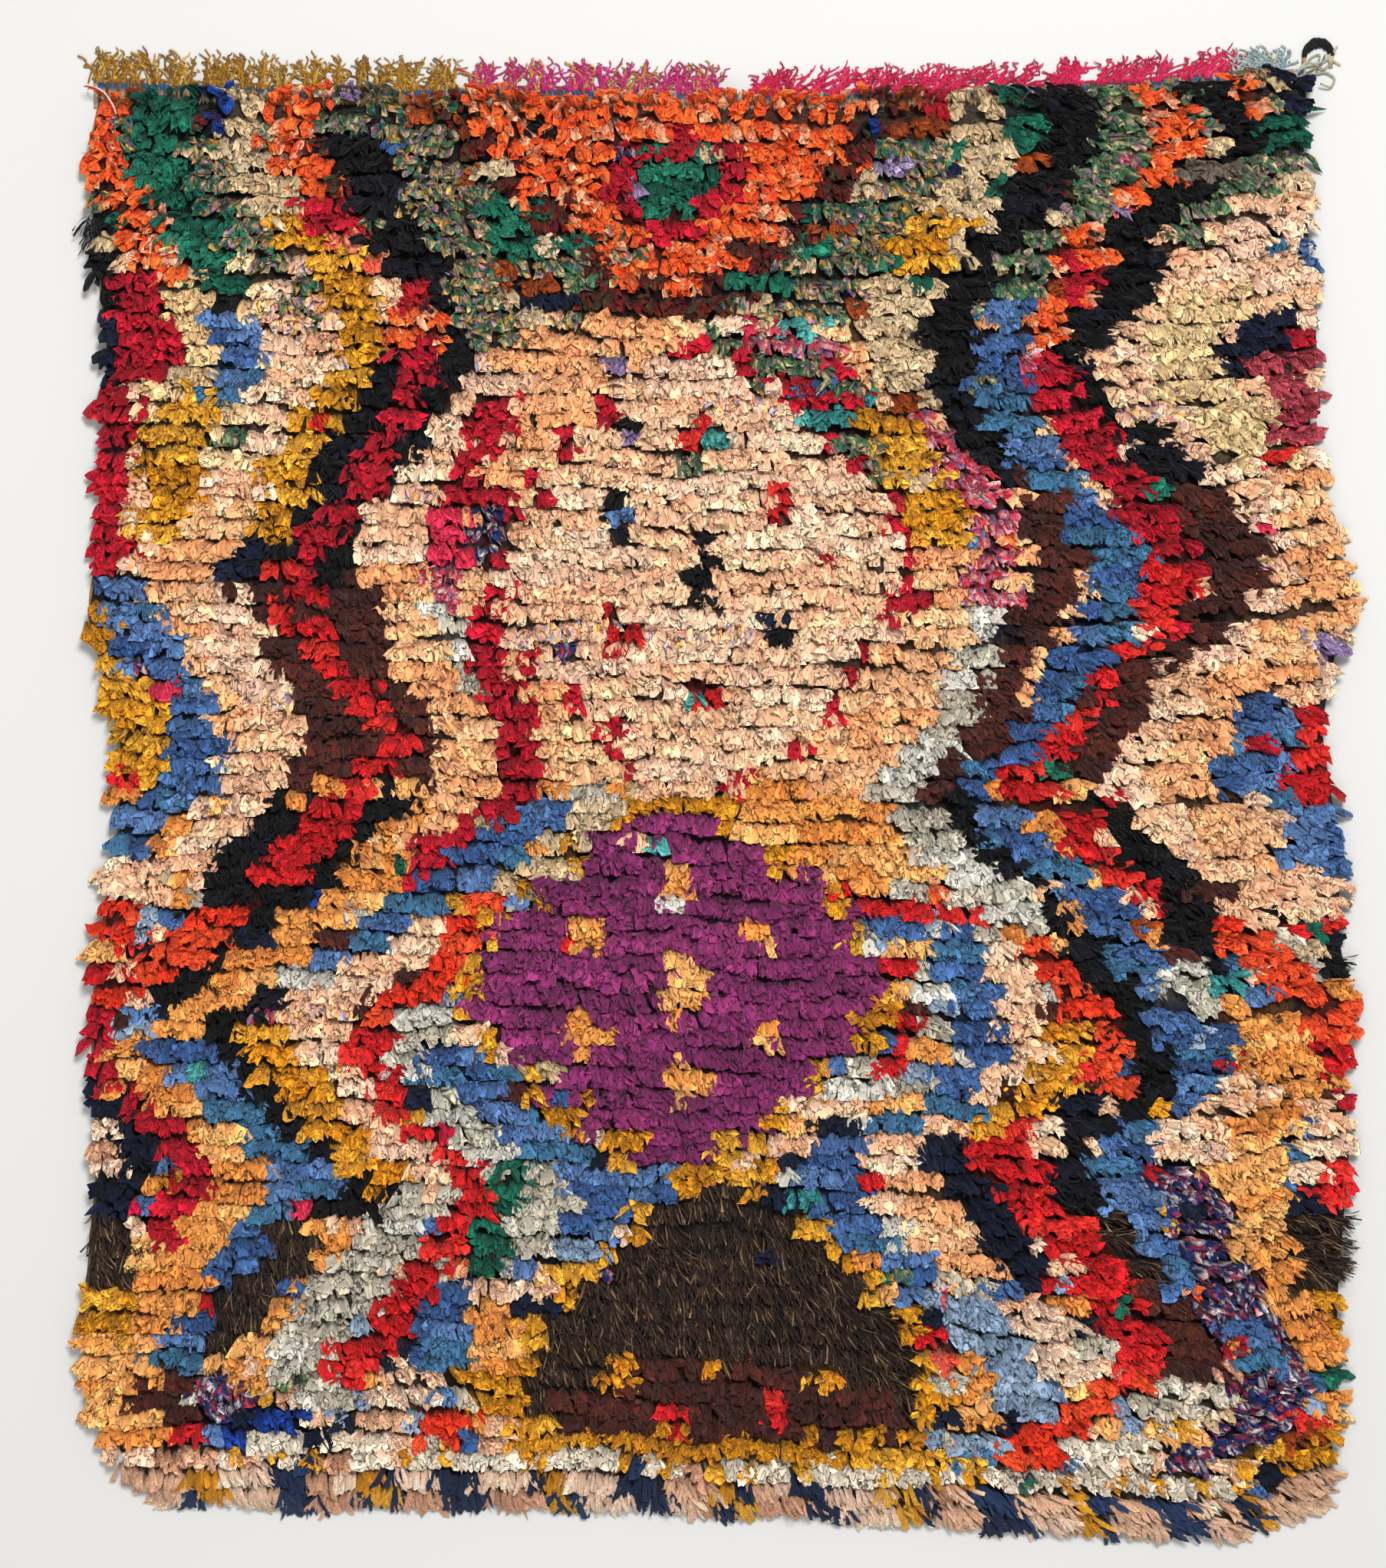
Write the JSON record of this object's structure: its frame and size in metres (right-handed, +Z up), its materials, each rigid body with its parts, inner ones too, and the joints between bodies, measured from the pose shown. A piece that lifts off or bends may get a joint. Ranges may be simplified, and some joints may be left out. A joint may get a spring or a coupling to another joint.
{
  "type": "boucherouite rug",
  "caption": "Rectangular hand-knotted rag rug with a deep lumpy pile, a flatwoven heading and a knotted yarn fringe at one end.",
  "frame": {"origin": "on the floor under the middle of the rug's outline", "axes": "+X across the rug to the pale blue fringe corner, +Y along it to the fringed end, +Z up out of the pile"},
  "size_m": [1.5332, 1.7862, 0.039],
  "materials": {
    "ground_weave": "coarse flatweave of beige and brown wool warp with blue weft ribs at the heading",
    "rag_pile": "crumpled strips of used cotton, jersey and wool in many colours, matt",
    "ochre_yarn": "two-ply ochre wool yarn with brown and cream flecks",
    "magenta_yarn": "crinkled magenta and lilac yarn",
    "pink_yarn": "bright pink yarn",
    "pale_blue_yarn": "pale grey-blue yarn with beige cords",
    "black_rag": "black cotton rag"
  },
  "bodies": {
    "root": {"ground_cloth": "ground_weave", "pile_slab": "rag_pile", "fringe_ochre": "ochre_yarn", "fringe_magenta": "magenta_yarn", "fringe_pink": "pink_yarn", "fringe_pale_blue": "pale_blue_yarn", "rag_tie": "black_rag"}
  },
  "joints": []
}
